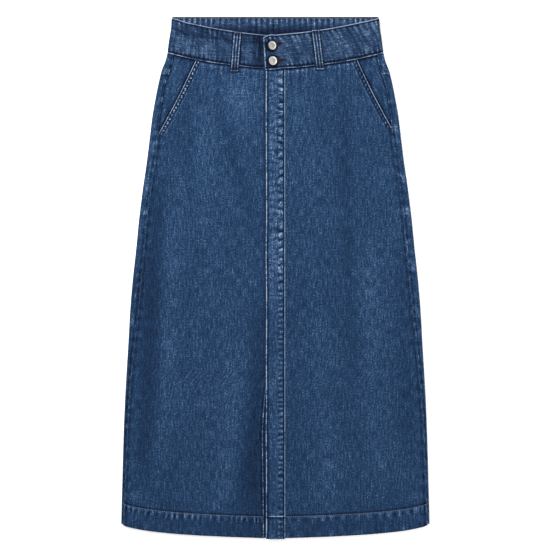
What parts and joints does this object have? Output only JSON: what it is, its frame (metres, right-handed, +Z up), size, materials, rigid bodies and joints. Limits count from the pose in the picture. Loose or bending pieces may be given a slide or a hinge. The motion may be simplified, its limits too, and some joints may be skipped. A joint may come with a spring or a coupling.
{
  "type": "denim midi skirt, laid flat",
  "caption": "A-line denim skirt laid flat: wide buttoned waistband, belt loops, slant pockets, full front placket and a front slit.",
  "frame": {"origin": "centre of the laid skirt's outline, on the surface it lies on", "axes": "+X to the wearer's left, +Y from hem to waist, +Z up from the surface, out of the front"},
  "size_m": [0.508, 0.86, 0.0168],
  "materials": {
    "denim": "mid-blue washed cotton twill, 12 oz, with paler worn edges and tonal stitching",
    "waistband_denim": "the same washed denim, doubled and more worn at its puckered edges",
    "button_metal": "pale satin silver, plain face with a raised rim"
  },
  "bodies": {
    "root": {"back_panel_right": "denim", "back_panel_left": "denim", "back_yoke_right": "denim", "back_yoke_left": "denim", "front_panel_right": "denim", "front_panel_left": "denim", "pocket_facing_right": "denim", "pocket_facing_left": "denim", "front_placket": "denim", "waistband": "waistband_denim", "belt_loop_front_right": "waistband_denim", "belt_loop_front_left": "waistband_denim", "belt_loop_back_right": "waistband_denim", "belt_loop_back_centre": "waistband_denim", "belt_loop_back_left": "waistband_denim", "button_upper": "button_metal", "button_lower": "button_metal"}
  },
  "joints": []
}
